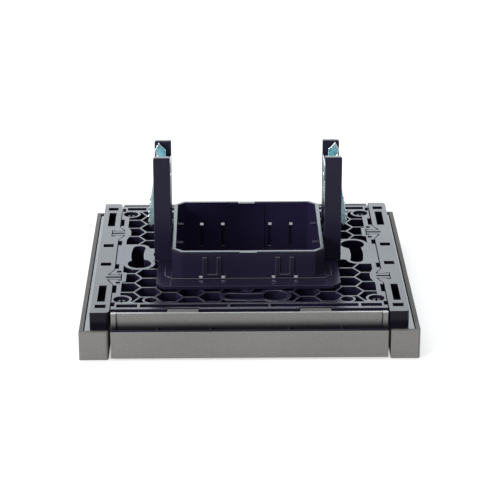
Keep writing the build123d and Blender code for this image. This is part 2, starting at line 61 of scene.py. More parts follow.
def addSocket(tree, name, kind, output=False):
    tree.interface.new_socket(name, in_out="OUTPUT" if output else "INPUT", socket_type=kind)


# Fine moulding grain and a slow drift of tone, shared by all the finishes
def makeGrainGroup():
    tree = bpy.data.node_groups.new("surfaceGrain", "ShaderNodeTree")
    addSocket(tree, "Grain Scale", "NodeSocketFloat")
    addSocket(tree, "Drift Scale", "NodeSocketFloat")
    addSocket(tree, "Grain", "NodeSocketFloat", output=True)
    addSocket(tree, "Drift", "NodeSocketFloat", output=True)
    entry = placeNode(tree, "NodeGroupInput", -600, 0)
    leave = placeNode(tree, "NodeGroupOutput", 300, 0)
    coords = placeNode(tree, "ShaderNodeTexCoord", -600, -200)
    grain = placeNode(tree, "ShaderNodeTexNoise", -300, 120)
    grain.inputs["Detail"].default_value = 2.0
    drift = placeNode(tree, "ShaderNodeTexNoise", -300, -160)
    drift.inputs["Detail"].default_value = 4.0
    for noise, scale in ((grain, "Grain Scale"), (drift, "Drift Scale")):
        tree.links.new(coords.outputs["Object"], noise.inputs["Vector"])
        tree.links.new(entry.outputs[scale], noise.inputs["Scale"])
    tree.links.new(grain.outputs["Fac"], leave.inputs["Grain"])
    tree.links.new(drift.outputs["Fac"], leave.inputs["Drift"])
    return tree


surfaceGrain = makeGrainGroup()


# Coat that thins out from one height down to another and lets the colour below show; the darkening
# towards the bottom stands partly for a thinning coat and partly for painted shade
def fadeCoatAndShade(tree, look, coatColour):
    coords = placeNode(tree, "ShaderNodeTexCoord", -500, 420)
    height = placeNode(tree, "ShaderNodeSeparateXYZ", -300, 420)
    cover = placeNode(tree, "ShaderNodeMapRange", -100, 420, interpolation_type="SMOOTHSTEP")
    cover.inputs["From Min"].default_value = look["fade"][0] * mm
    cover.inputs["From Max"].default_value = look["fade"][1] * mm
    blend = placeNode(tree, "ShaderNodeMix", 150, 320, data_type="RGBA")
    blend.inputs["A"].default_value = (*look["below"], 1.0)
    metal = placeNode(tree, "ShaderNodeMath", 150, 120, operation="MULTIPLY")
    metal.inputs[1].default_value = look["metallic"]
    tree.links.new(coords.outputs["Object"], height.inputs["Vector"])
    tree.links.new(height.outputs["Z"], cover.inputs["Value"])
    tree.links.new(cover.outputs["Result"], blend.inputs["Factor"])
    tree.links.new(cover.outputs["Result"], metal.inputs[0])
    tree.links.new(coatColour, blend.inputs["B"])
    return {"colour": blend.outputs["Result"], "metallic": metal.outputs[0]}


noiseRange = (0.3, 0.7)  # most of the noise lies between these


# A finish is a Principled shader fed by the grain group: tone, gloss and bump all vary a little
def makeFinish(look):
    material = bpy.data.materials.new(look["name"])
    material.use_nodes = True
    tree = material.node_tree
    tree.nodes.clear()
    output = placeNode(tree, "ShaderNodeOutputMaterial", 700, 0)
    shader = placeNode(tree, "ShaderNodeBsdfPrincipled", 400, 0)
    grain = placeNode(tree, "ShaderNodeGroup", -500, 0, node_tree=surfaceGrain)
    grain.inputs["Grain Scale"].default_value = look["grainScale"]
    grain.inputs["Drift Scale"].default_value = look["driftScale"]
    mixer = placeNode(tree, "ShaderNodeMath", -300, 120, operation="MULTIPLY_ADD")
    mixer.inputs[1].default_value = look["grainShare"]
    spread = placeNode(tree, "ShaderNodeMath", -300, -40, operation="MULTIPLY")
    spread.inputs[1].default_value = 1.0 - look["grainShare"]
    tone = placeNode(tree, "ShaderNodeValToRGB", -100, 160)
    gloss = placeNode(tree, "ShaderNodeMapRange", -100, -120)
    for index, (shade, end) in enumerate((("dark", "Min"), ("light", "Max"))):
        tone.color_ramp.elements[index].position = noiseRange[index]
        tone.color_ramp.elements[index].color = (*look[shade], 1.0)
        gloss.inputs["From " + end].default_value = noiseRange[index]
        gloss.inputs["To " + end].default_value = look["roughness"][index]
    bump = placeNode(tree, "ShaderNodeBump", 100, -320)
    bump.inputs["Strength"].default_value = look["bump"]
    bump.inputs["Distance"].default_value = look["bumpDepth"] * mm
    shader.inputs["Metallic"].default_value = look["metallic"]
    shader.inputs["IOR"].default_value = look["ior"]
    shader.inputs["Specular IOR Level"].default_value = look["specular"]
    tree.links.new(grain.outputs["Drift"], spread.inputs[0])
    tree.links.new(grain.outputs["Grain"], mixer.inputs[0])
    tree.links.new(spread.outputs[0], mixer.inputs[2])
    tree.links.new(mixer.outputs[0], tone.inputs["Fac"])
    tree.links.new(grain.outputs["Drift"], gloss.inputs["Value"])
    tree.links.new(grain.outputs["Grain"], bump.inputs["Height"])
    if "fade" in look:
        coat = fadeCoatAndShade(tree, look, tone.outputs["Color"])
        tree.links.new(coat["colour"], shader.inputs["Base Color"])
        tree.links.new(coat["metallic"], shader.inputs["Metallic"])
    else:
        tree.links.new(tone.outputs["Color"], shader.inputs["Base Color"])
    tree.links.new(gloss.outputs["Result"], shader.inputs["Roughness"])
    tree.links.new(bump.outputs["Normal"], shader.inputs["Normal"])
    tree.links.new(shader.outputs["BSDF"], output.inputs["Surface"])
    return material


greyLacquerLook = {
    "name": "greyLacquer",
    "dark": (0.226, 0.223, 0.217),
    "light": (0.306, 0.302, 0.296),
    "roughness": (0.38, 0.46),
    "metallic": 0.55,
    "ior": 1.5,
    "specular": 0.5,
    "grainScale": 3200.0,
    "driftScale": 40.0,
    "grainShare": 0.75,
    "bump": 0.25,
    "bumpDepth": 0.03,
}
greyLacquer = makeFinish(greyLacquerLook)
# Lacquer that darkens downwards into the black: partly a thinning coat, partly painted shade in the
# channel between lip and skirt
thinLacquerAndShadeLook = {
    **greyLacquerLook,
    "name": "thinLacquerAndShade",
    "fade": (7.5, 9.9),  # heights between which the coat comes in; the dark below them is partly painted shade in the channel
    "below": (0.010, 0.009, 0.014),
}
thinLacquerAndShade = makeFinish(thinLacquerAndShadeLook)
# Darker, duller, non-metallic copy of the grey lacquer for the tops of the tabs and of the end strips'
# walls: painted shade on faces that carry the same lacquer
rimLacquerPaintedShadeLook = {
    **greyLacquerLook,
    "name": "rimLacquerPaintedShade",
    "dark": (0.095, 0.092, 0.088),
    "light": (0.130, 0.126, 0.121),
    "roughness": (0.55, 0.65),
    "metallic": 0.0,
    "ior": 1.2,
}
rimLacquerPaintedShade = makeFinish(rimLacquerPaintedShadeLook)

blackMouldingLook = {
    "name": "blackMoulding",
    "dark": (0.011, 0.0092, 0.024),
    "light": (0.017, 0.0145, 0.036),
    "roughness": (0.20, 0.27),
    "metallic": 0.0,
    "ior": 1.32,
    "specular": 0.5,
    "grainScale": 2600.0,
    "driftScale": 55.0,
    "grainShare": 0.35,
    "bump": 0.15,
    "bumpDepth": 0.02,
}
blackMoulding = makeFinish(blackMouldingLook)
# Lighter black for the roundings: a painted highlight along the edges, with a higher IOR for a
# stronger reflection
blackEdgePaintedHighlightLook = {
    **blackMouldingLook,
    "name": "blackEdgePaintedHighlight",
    "dark": (0.030, 0.029, 0.038),
    "light": (0.045, 0.043, 0.055),
    "ior": 1.7,
}
blackEdgePaintedHighlight = makeFinish(blackEdgePaintedHighlightLook)
# Darker copy of the black moulding for the end rails, and a glossier one for their shelf: painted
# shade on the rails' front faces and in their pockets
railBlackPaintedShadeLook = {
    **blackMouldingLook,
    "name": "railBlackPaintedShade",
    "dark": (0.0056, 0.0048, 0.010),
    "light": (0.0085, 0.0074, 0.015),
}
railBlackPaintedShade = makeFinish(railBlackPaintedShadeLook)
shelfBlackPaintedShadeLook = {**railBlackPaintedShadeLook, "name": "shelfBlackPaintedShade", "ior": 1.5}
shelfBlackPaintedShade = makeFinish(shelfBlackPaintedShadeLook)
# Lighter, bluer black for the inner walls of the box: painted light on walls that stand in shade
# inside the box
innerBlackPaintedLightLook = {
    **blackMouldingLook,
    "name": "innerBlackPaintedLight",
    "dark": (0.017, 0.0132, 0.040),
    "light": (0.026, 0.0205, 0.060),
}
innerBlackPaintedLight = makeFinish(innerBlackPaintedLightLook)
mattBlackLook = {**blackMouldingLook, "name": "mattBlack", "roughness": (0.50, 0.60), "ior": 1.12}
mattBlack = makeFinish(mattBlackLook)

zincPlateLook = {
    "name": "zincPlate",
    "dark": (0.13, 0.32, 0.37),
    "light": (0.70, 0.88, 0.90),
    "roughness": (0.20, 0.30),
    "metallic": 1.0,
    "ior": 1.5,
    "specular": 0.5,
    "grainScale": 1500.0,
    "driftScale": 420.0,
    "grainShare": 0.1,
    "bump": 0.2,
    "bumpDepth": 0.02,
}
zincPlate = makeFinish(zincPlateLook)
# Near-white zinc for the claws' roundings: a painted highlight along their edges
zincEdgeHighlightLook = {
    **zincPlateLook,
    "name": "zincEdgeHighlight",
    "dark": (0.80, 0.85, 0.87),
    "light": (0.95, 0.97, 0.98),
}
zincEdgeHighlight = makeFinish(zincEdgeHighlightLook)

blackenedSteelLook = {
    "name": "blackenedSteel",
    "dark": (0.05, 0.05, 0.055),
    "light": (0.10, 0.10, 0.105),
    "roughness": (0.30, 0.40),
    "metallic": 0.9,
    "ior": 1.5,
    "specular": 0.5,
    "grainScale": 2200.0,
    "driftScale": 120.0,
    "grainShare": 0.4,
    "bump": 0.15,
    "bumpDepth": 0.02,
}
blackenedSteel = makeFinish(blackenedSteelLook)
print("finishes made")


def settle(piece, look, *nodeNames):
    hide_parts(*nodeNames)
    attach(piece, look["body"])


# An edge has room for a rounding where no other corner of the mesh lies close beside it
def hasRoom(edge, width, crowd):
    start, end = (vert.co for vert in edge.verts)
    own = [vert.index for vert in edge.verts]
    reach = 2 * width
    for spot, index, _ in crowd.find_range((start + end) / 2, (end - start).length / 2 + reach):
        if index not in own:
            along = intersect_point_line(spot, start, end)[1]
            if (spot - start.lerp(end, min(max(along, 0.0), 1.0))).length < reach:
                return False
    return True


# Rounds the outward corners that isChosen picks, and marks the new faces; they get the finish in slot
def roundEdges(form, width, segments, slot, isChosen):
    rounding = form.faces.layers.int["rounding"]
    form.verts.index_update()
    crowd = KDTree(len(form.verts))
    for vert in form.verts:
        crowd.insert(vert.co, vert.index)
    crowd.balance()
    sharp = [
        edge for edge in form.edges
        if edge.is_manifold and edge.is_convex and edge.calc_face_angle() > sharpAngle
        and isChosen(edge) and hasRoom(edge, width, crowd)
    ]
    made = bmesh.ops.bevel(
        form, geom=sharp, offset=width, offset_type="OFFSET", segments=segments, profile=0.5,
        affect="EDGES", clamp_overlap=False, loop_slide=True, material=slot,
    )
    for face in made["faces"]:
        face[rounding] = 1


# Cosines of the angles up to which a face's normal blends with its neighbours'
blending = {"beside": 0.77, "curve": 0.86, "rounding": 0.5}


# Shading normal at a corner of a face: flat faces stay flat, facets of a curve blend with each other,
# and a rounding runs from the normal of the face beside it to the middle of the corner
def cornerNormal(face, vert, rounding):
    flats = [near for near in vert.link_faces if not near[rounding]]
    kin = [near for near in flats if near.normal.dot(face.normal) > blending["beside"]]
    if face[rounding] and kin:
        nearest = max(kin, key=lambda near: near.normal.dot(face.normal))
        kin = [near for near in kin if near.normal.dot(nearest.normal) > blending["curve"]]
    elif face[rounding]:
        rounds = [near for near in vert.link_faces if near[rounding]]
        kin = [near for near in rounds if near.normal.dot(face.normal) > blending["rounding"]]
    else:
        kin = [near for near in kin if near.normal.dot(face.normal) > blending["curve"]]
    blend = sum((near.normal * near.calc_area() for near in kin), Vector())
    return blend.normalized() if blend.length > 0 else face.normal.copy()


weld = 0.001 * mm  # corners closer than this are one
flatAngle = math.radians(0.6)  # facets flatter than this are joined
edgeSegments, fineSegments = 2, 3
ownFinish = -1  # the roundings keep the finish beside them


def liesAt(edge, level):
    return all(abs(vert.co.z - level) < weld for vert in edge.verts)


# Raises the floor of the dips in the rim, with its rounded edges, once all the edges are rounded
def easeDips(form, high, look):
    floor = high.z - look["dipDepth"] * mm
    for vert in form.verts:
        isFloor = floor - 2 * look["edge"] * mm < vert.co.z < floor + weld
        if isFloor and abs(vert.co.x) < look["dipHalf"] * mm + weld:
            vert.co.z += look["dipRise"] * mm


# A moulded or bent piece: copy of the CAD mesh with its triangles joined and its edges rounded.
# Where there is a reshape, it changes the form first; where there is a chooseFinish, it picks the
# finish of each face from the face, the corners of the node's box and the settings.
def roundedCopy(nodeName, pieceName, look, finishes, chooseFinish=None, reshape=None):
    low, high = (Vector(corner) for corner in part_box(nodeName))
    form = bmesh.new()
    form.from_mesh(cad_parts[nodeName].data)
    rounding = form.faces.layers.int.new("rounding")
    bmesh.ops.remove_doubles(form, verts=form.verts, dist=weld)
    bmesh.ops.dissolve_limit(form, angle_limit=flatAngle, verts=form.verts, edges=form.edges)
    if reshape is not None:
        reshape(form, high, look)
    edgeSlot = look.get("edgeSlot", ownFinish)
    if "rimEdge" in look:
        roundEdges(
            form, look["rimEdge"] * mm, fineSegments, ownFinish,
            lambda edge: liesAt(edge, high.z),
        )
    if "stepEdge" in look:
        roundEdges(
            form, look["stepEdge"] * mm, fineSegments, edgeSlot,
            lambda edge: liesAt(edge, look["stepLevel"] * mm)
            and any(abs(vert.co.y) > look["padReach"] * mm for vert in edge.verts),
        )
    roundEdges(form, look["edge"] * mm, edgeSegments, edgeSlot, lambda edge: True)
    if "dipHalf" in look:
        easeDips(form, high, look)
    form.normal_update()
    for face in form.faces:
        face.smooth = True
        if chooseFinish is not None:
            face.material_index = chooseFinish(face, low, high, look)
    normals = [cornerNormal(face, loop.vert, rounding) for face in form.faces for loop in face.loops]
    mesh = bpy.data.meshes.new(pieceName)
    form.to_mesh(mesh)
    form.free()
    mesh.normals_split_custom_set(normals)
    for finish in finishes:
        mesh.materials.append(finish)
    piece = bpy.data.objects.new(pieceName, mesh)
    bpy.context.scene.collection.objects.link(piece)
    settle(piece, look, nodeName)


# The lacquer is sprayed on from outside: it covers the sides and the front face, thins out down the
# outside of the skirts, and leaves the back edges and the inside bare. The darkening down the skirts
# is partly that thinning and partly painted shade in the channel behind the lip
def sprayedFinish(face, low, high, look):
    lacquered, bare, rim, thinnedAndShaded = 0, 1, 2, 3
    spot, facing = face.calc_center_median(), face.normal
    reach = look["lacquerReach"] * mm
    toEnd = high.y - abs(spot.y)
    toSide = min(spot.x - low.x, high.x - spot.x, toEnd)
    if "lipWall" in look:
        onSkirt = look["lipWall"] * mm < toEnd < look["skirtInset"] * mm
        # The outside of the skirt darkens downwards: a thinning coat and painted shade in the channel
        if onSkirt and facing.y * spot.y > look["facesOut"] * abs(spot.y):
            return thinnedAndShaded
        if onSkirt and spot.z > high.z - reach:
            return lacquered
        # Tops of the tabs take the darker copy of the lacquer as painted shade
        if spot.z > high.z - look["tabThick"] * mm and toEnd < look["tabReach"] * mm:
            return rim
        if facing.z > look["facesUp"]:
            return thinnedAndShaded if onSkirt and spot.z > look["ribTop"] * mm - reach else bare
    # Tops of the end strips' walls take the darker copy of the lacquer as painted shade; the tops of
    # their end walls stay bare
    elif facing.z > look["facesUp"] and spot.z > high.z - reach:
        return bare if toEnd < look["endWall"] * mm else rim
    return bare if toSide > reach and spot.z - low.z > reach else lacquered


# The small ribs across the channel between lip and skirt end just below the top of the lip, and the
# top of each skirt is parted from the snap tabs behind it
def shapeCover(form, high, look):
    for vert in form.verts:
        inChannel = high.y - abs(vert.co.y) < look["skirtInset"] * mm
        if inChannel and abs(vert.co.z - look["ribFoot"] * mm) < weld:
            vert.co.z = look["ribTop"] * mm
    for sign in (1, -1):
        bmesh.ops.bisect_plane(
            form, geom=[*form.verts, *form.edges, *form.faces], dist=weld,
            plane_co=(0, sign * (high.y - look["skirtBack"] * mm), 0), plane_no=(0, 1, 0),
        )


coverPlate = {
    "body": "plate", "slot": "metallic_grey", "edge": 0.18,
    "lacquerReach": 0.3, "facesUp": 0.6, "facesOut": 0.5,
    "lipWall": 1.4, "skirtInset": 3.75, "skirtBack": 3.9,  # from the plate's edge
    "tabThick": 1.4, "tabReach": 6.5,
    "ribFoot": 7.1, "ribTop": 7.6,  # height of the channel's ribs, before and after
}
coverFinishes = (greyLacquer, blackMoulding, rimLacquerPaintedShade, thinLacquerAndShade)
roundedCopy("blank_cover", "coverPlate", coverPlate, coverFinishes, sprayedFinish, shapeCover)

endStrips = {
    "body": "plate", "slot": "metallic_grey", "edge": 0.15,
    "lacquerReach": 0.3, "facesUp": 0.6, "endWall": 1.25,
}
stripFinishes = (greyLacquer, mattBlack, rimLacquerPaintedShade)
for side in sides:
    roundedCopy(side + "_end_trim", side + "EndStrip", endStrips, stripFinishes, sprayedFinish)


# The roundings get a lighter, glossier black as a painted highlight, apart from those along the split
# line between the frame and the rails; the low shelf along the outside of each rail is glossier
def seamFinish(face, low, high, look):
    plain, paintedHighlight, seam, shelf = 0, 1, 2, 3
    spot = face.calc_center_median()
    if "shelf" in look and face.normal.z > look["facesUp"]:
        if abs(spot.z - look["shelf"] * mm) < look["edge"] * mm:
            return shelf
    if face.material_index == plain:
        return plain
    return seam if look["seam"][0] * mm < abs(spot.x) < look["seam"][1] * mm else paintedHighlight


honeycombFrame = {
    "body": "plate", "slot": "black_plastic", "edge": 0.09, "edgeSlot": 1,
    "seam": (34.0, 41.0),  # from the middle
}
frameFinishes = (blackMoulding, blackEdgePaintedHighlight, mattBlack)
roundedCopy("support_frame", "honeycombFrame", honeycombFrame, frameFinishes, seamFinish)

endRails = {
    "body": "plate", "slot": "black_plastic", "edge": 0.12, "edgeSlot": 1,
    "seam": (30.0, 37.4),  # from the middle
    "shelf": 7.4, "facesUp": 0.9,
}
railFinishes = (railBlackPaintedShade, blackEdgePaintedHighlight, mattBlack, shelfBlackPaintedShade)
for side in sides:
    roundedCopy(side + "_end_rail", side + "EndRail", endRails, railFinishes, seamFinish)


# The snap slots in the walls of the box show only low down, so their tops come down
def lowerSlots(form, high, look):
    for vert in form.verts:
        if abs(vert.co.z - look["slotTop"] * mm) < weld:
            vert.co.z = look["slotClosed"] * mm


# The roundings of the edges above the flange and inside the box get the lighter black of the painted
# highlight, the small lugs inside are dull on top, and the inner walls get a lighter black as painted
# light, a little lighter than the grooves in them
def boxFinish(face, low, high, look):
    plain, dull, inner = 0, 2, 3
    spot, facing = face.calc_center_median(), face.normal
    lugLow, lugHigh = look["lugs"]
    isLug = lugLow * mm < spot.z < lugHigh * mm and abs(spot.y) < look["lugReach"] * mm
    if isLug and facing.z > look["lugFacing"]:
        return dull
    inward = -(spot.x * facing.x + spot.y * facing.y)
    # Inner walls take the lighter black as painted light; the grooves keep the plain black
    if inward > look["innerReach"] * mm and abs(facing.z) < look["wallTilt"]:
        return dull if abs(spot.y) > look["grooveFrom"] * mm else inner
    isInside = max(abs(spot.x), abs(spot.y)) < look["grooveFrom"] * mm
    return face.material_index if isInside or spot.z > look["stepTop"] * mm else plain


rearBox = {
    "body": "plate", "slot": "black_plastic", "edge": 0.16, "edgeSlot": 1, "rimEdge": 0.24,
    "slotTop": 15.4, "slotClosed": 13.8,  # height of the slots' tops, before and after
    "lugs": (17.3, 18.1), "lugReach": 8.5, "lugFacing": 0.2,
    "innerReach": 14.0, "wallTilt": 0.1, "grooveFrom": 18.7,
    "stepTop": 12.8,  # the roundings of edges above this get the painted highlight
    "stepEdge": 0.1, "stepLevel": 13.0, "padReach": 8.0,
    "dipHalf": 2.3, "dipDepth": 0.5, "dipRise": 0.3,
}
boxFinishes = (blackMoulding, blackEdgePaintedHighlight, mattBlack, innerBlackPaintedLight)
roundedCopy("rear_box", "rearBox", rearBox, boxFinishes, boxFinish, lowerSlots)

clawLegs = {"body": "plate", "slot": "black_plastic", "edge": 0.16}
for side in sides:
    roundedCopy(side + "_claw_leg", side + "ClawLeg", clawLegs, (blackMoulding,))
print("moulded pieces rounded")

# The claws' roundings take the near-white zinc as a painted highlight
bentClaws = {"slot": "zinc_steel", "edge": 0.12, "edgeSlot": 1}
clawNuts = {"slot": "zinc_steel", "edge": 0.15}
for side in sides:
    clawLook = {**bentClaws, "body": side + "_claw"}
    nutLook = {**clawNuts, "body": side + "_nut"}
    roundedCopy(side + "_claw", side + "BentClaw", clawLook, (zincPlate, zincEdgeHighlight))
    roundedCopy(side + "_claw_nut", side + "ClawNut", nutLook, (zincPlate,))
print("claws and nuts rounded")


# Geometry node trees
def startTree(name, sizes):
    tree = bpy.data.node_groups.new(name, "GeometryNodeTree")
    for label in sizes:
        addSocket(tree, label, "NodeSocketFloat")
    addSocket(tree, "Finish", "NodeSocketMaterial")
    addSocket(tree, "Geometry", "NodeSocketGeometry", output=True)
    return tree, placeNode(tree, "NodeGroupInput", -900, 0), placeNode(tree, "NodeGroupOutput", 900, 0)


def mathNode(tree, operation, first, second, x, y):
    node = placeNode(tree, "ShaderNodeMath", x, y, operation=operation)
    for index, value in enumerate((first, second)):
        if isinstance(value, (int, float)):
            node.inputs[index].default_value = value
        else:
            tree.links.new(value, node.inputs[index])
    return node.outputs[0]


def raised(tree, geometry, height, x, y, across=None):
    shift = placeNode(tree, "ShaderNodeCombineXYZ", x - 180, y - 120)
    tree.links.new(height, shift.inputs["Z"])
    if across is not None:
        tree.links.new(across, shift.inputs["X"])
    move = placeNode(tree, "GeometryNodeTransform", x, y)
    tree.links.new(geometry, move.inputs["Geometry"])
    tree.links.new(shift.outputs[0], move.inputs["Translation"])
    return move.outputs["Geometry"]


def closeTree(tree, entry, leave, geometry):
    realize = placeNode(tree, "GeometryNodeRealizeInstances", 500, 0)
    paint = placeNode(tree, "GeometryNodeSetMaterial", 700, 0)
    tree.links.new(geometry, realize.inputs["Geometry"])
    tree.links.new(realize.outputs["Geometry"], paint.inputs["Geometry"])
    tree.links.new(entry.outputs["Finish"], paint.inputs["Material"])
    tree.links.new(paint.outputs["Geometry"], leave.inputs["Geometry"])


def growPiece(pieceName, tree, sizes, material):
    holder = bpy.data.objects.new(pieceName + "Seed", bpy.data.meshes.new(pieceName + "Seed"))
    bpy.context.scene.collection.objects.link(holder)
    modifier = holder.modifiers.new(pieceName, "NODES")
    modifier.node_group = tree
    for item in tree.interface.items_tree:
        if item.in_out == "INPUT":
            modifier[item.identifier] = material if item.name == "Finish" else sizes[item.name]
    grown = holder.evaluated_get(bpy.context.evaluated_depsgraph_get())
    mesh = bpy.data.meshes.new_from_object(grown)
    mesh.name = pieceName
    holder.modifiers.clear()
    bpy.data.objects.remove(holder)
    for face in mesh.polygons:
        face.use_smooth = True
    mesh.set_sharp_from_angle(angle=sharpAngle)
    piece = bpy.data.objects.new(pieceName, mesh)
    bpy.context.scene.collection.objects.link(piece)
    return piece


# Claw screw: core, head and a helical thread
def makeThreadTree(look):
    sizes = (
        "Root Radius", "Crest Radius", "Pitch", "Foot", "Thread Foot", "Top",
        "Head Radius", "Head Height", "Shaft X",
    )
    tree, entry, leave = startTree("clawThread", sizes)
    get = entry.outputs
    coreLength = mathNode(tree, "SUBTRACT", get["Top"], get["Foot"], -650, 260)
    coreMiddle = mathNode(tree, "MULTIPLY_ADD", coreLength, 0.5, -450, 260)
    tree.links.new(get["Foot"], coreMiddle.node.inputs[2])
    core = placeNode(tree, "GeometryNodeMeshCylinder", -250, 300)
    core.inputs["Vertices"].default_value = look["coreCorners"]
    tree.links.new(get["Root Radius"], core.inputs["Radius"])
    tree.links.new(coreLength, core.inputs["Depth"])
    threadLength = mathNode(tree, "SUBTRACT", get["Top"], get["Thread Foot"], -650, 0)
    depth = mathNode(tree, "SUBTRACT", get["Crest Radius"], get["Root Radius"], -650, -160)
    run = mathNode(tree, "SUBTRACT", threadLength, depth, -500, -60)
    turns = mathNode(tree, "DIVIDE", run, get["Pitch"], -450, 0)
    helix = placeNode(tree, "GeometryNodeCurveSpiral", -250, 20)
    helix.inputs["Resolution"].default_value = look["turnPoints"]
    helix.inputs["Reverse"].default_value = True  # right-handed
    tree.links.new(turns, helix.inputs["Rotations"])
    tree.links.new(get["Root Radius"], helix.inputs["Start Radius"])
    tree.links.new(get["Root Radius"], helix.inputs["End Radius"])
    tree.links.new(run, helix.inputs["Height"])
    upright = placeNode(tree, "GeometryNodeSetCurveNormal", -80, 20, mode="Z_UP")
    ridge = placeNode(tree, "GeometryNodeCurvePrimitiveCircle", -250, -220)
    ridge.inputs["Resolution"].default_value = look["ridgeCorners"]
    tree.links.new(depth, ridge.inputs["Radius"])
    sweep = placeNode(tree, "GeometryNodeCurveToMesh", 80, 0)
    sweep.inputs["Fill Caps"].default_value = True
    tree.links.new(helix.outputs["Curve"], upright.inputs["Curve"])
    tree.links.new(upright.outputs["Curve"], sweep.inputs["Curve"])
    tree.links.new(ridge.outputs["Curve"], sweep.inputs["Profile Curve"])
    headMiddle = mathNode(tree, "MULTIPLY_ADD", get["Head Height"], -0.5, -450, -400)
    tree.links.new(get["Foot"], headMiddle.node.inputs[2])
    head = placeNode(tree, "GeometryNodeMeshCylinder", -250, -420)
    head.inputs["Vertices"].default_value = look["headCorners"]
    tree.links.new(get["Head Radius"], head.inputs["Radius"])
    tree.links.new(get["Head Height"], head.inputs["Depth"])
    join = placeNode(tree, "GeometryNodeJoinGeometry", 350, 0)
    for geometry, height, y in (
        (core.outputs["Mesh"], coreMiddle, 300),
        (sweep.outputs["Mesh"], get["Thread Foot"], 0),
        (head.outputs["Mesh"], headMiddle, -420),
    ):
        tree.links.new(raised(tree, geometry, height, 250, y, get["Shaft X"]), join.inputs["Geometry"])
    closeTree(tree, entry, leave, join.outputs["Geometry"])
    return tree


clawScrews = {
    "slot": "zinc_steel",
    "rootRadius": 1.02,
    "crestRadius": 1.24,
    "pitch": 0.45,
    "headHeight": 2.0,
    "plainNeck": 3.4,  # shank below the thread
    "coreCorners": 24,
    "headCorners": 28,
    "ridgeCorners": 4,
    "turnPoints": 20,
}
clawThread = makeThreadTree(clawScrews)
for side in sides:
    low, high = (Vector(corner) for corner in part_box(side + "_claw_screw"))
    foot = low.z + clawScrews["headHeight"] * mm
    screw = growPiece(
        side + "ClawScrew", clawThread,
        {
            "Root Radius": clawScrews["rootRadius"] * mm,
            "Crest Radius": clawScrews["crestRadius"] * mm,
            "Pitch": clawScrews["pitch"] * mm,
            "Foot": foot,
            "Thread Foot": foot + clawScrews["plainNeck"] * mm,
            "Top": high.z,
            "Head Radius": (high.x - low.x) / 2,
            "Head Height": clawScrews["headHeight"] * mm,
            "Shaft X": (low.x + high.x) / 2,
        },
        zincPlate,
    )
    settle(screw, {**clawScrews, "body": side + "_screw"}, side + "_claw_screw")
print("claw screws threaded")


# Corner screws: one cross-recessed head and shank, placed on the four bosses
def makeCornerScrewTree(look):
    sizes = (
        "Spacing X", "Spacing Y", "Head Radius", "Crown Radius", "Head Foot", "Head Top",
        "Crown Height", "Shank Radius", "Shank Foot", "Cross Length", "Cross Width", "Cross Depth",
    )
    tree, entry, leave = startTree("cornerScrewSet", sizes)
    get = entry.outputs
    join = placeNode(tree, "GeometryNodeJoinGeometry", -20, 0)
    skirtTop = mathNode(tree, "SUBTRACT", get["Head Top"], get["Crown Height"], -750, 420)
    stages = (
        (get["Shank Foot"], get["Head Foot"], get["Shank Radius"], get["Shank Radius"], 300),
        (get["Head Foot"], skirtTop, get["Head Radius"], get["Head Radius"], 60),
        (skirtTop, get["Head Top"], get["Head Radius"], get["Crown Radius"], -180),
    )
    for (low, high, lowRadius, highRadius, y), corners in zip(stages, look["corners"]):
        length = mathNode(tree, "SUBTRACT", high, low, -550, y)
        body = placeNode(tree, "GeometryNodeMeshCone", -380, y)
        body.inputs["Vertices"].default_value = corners
        tree.links.new(lowRadius, body.inputs["Radius Bottom"])
        tree.links.new(highRadius, body.inputs["Radius Top"])
        tree.links.new(length, body.inputs["Depth"])
        tree.links.new(raised(tree, body.outputs["Mesh"], low, -180, y), join.inputs["Geometry"])
    wings = placeNode(tree, "GeometryNodeJoinGeometry", -20, -420)
    twoDeep = mathNode(tree, "MULTIPLY", get["Cross Depth"], 2.0, -750, -420)
    for longAxis, shortAxis, y in (("X", "Y", -420), ("Y", "X", -600)):
        span = placeNode(tree, "ShaderNodeCombineXYZ", -550, y)
        tree.links.new(get["Cross Length"], span.inputs[longAxis])
        tree.links.new(get["Cross Width"], span.inputs[shortAxis])
        tree.links.new(twoDeep, span.inputs["Z"])
        wing = placeNode(tree, "GeometryNodeMeshCube", -380, y)
        tree.links.new(span.outputs[0], wing.inputs["Size"])
        placed = raised(tree, wing.outputs["Mesh"], get["Head Top"], -180, y)
        tree.links.new(placed, wings.inputs["Geometry"])
    cut = placeNode(tree, "GeometryNodeMeshBoolean", 150, 0, operation="DIFFERENCE", solver="EXACT")
    cut.inputs["Self Intersection"].default_value = True  # also merges shank, head and crown
    tree.links.new(join.outputs["Geometry"], cut.inputs["Mesh 1"])
    tree.links.new(wings.outputs["Geometry"], cut.inputs["Mesh 2"])
    bosses = placeNode(tree, "GeometryNodeMeshGrid", 0, 300)
    bosses.inputs["Vertices X"].default_value = 2
    bosses.inputs["Vertices Y"].default_value = 2
    tree.links.new(get["Spacing X"], bosses.inputs["Size X"])
    tree.links.new(get["Spacing Y"], bosses.inputs["Size Y"])
    spreadOut = placeNode(tree, "GeometryNodeInstanceOnPoints", 330, 0)
    tree.links.new(bosses.outputs["Mesh"], spreadOut.inputs["Points"])
    tree.links.new(cut.outputs["Mesh"], spreadOut.inputs["Instance"])
    closeTree(tree, entry, leave, spreadOut.outputs["Instances"])
    return tree


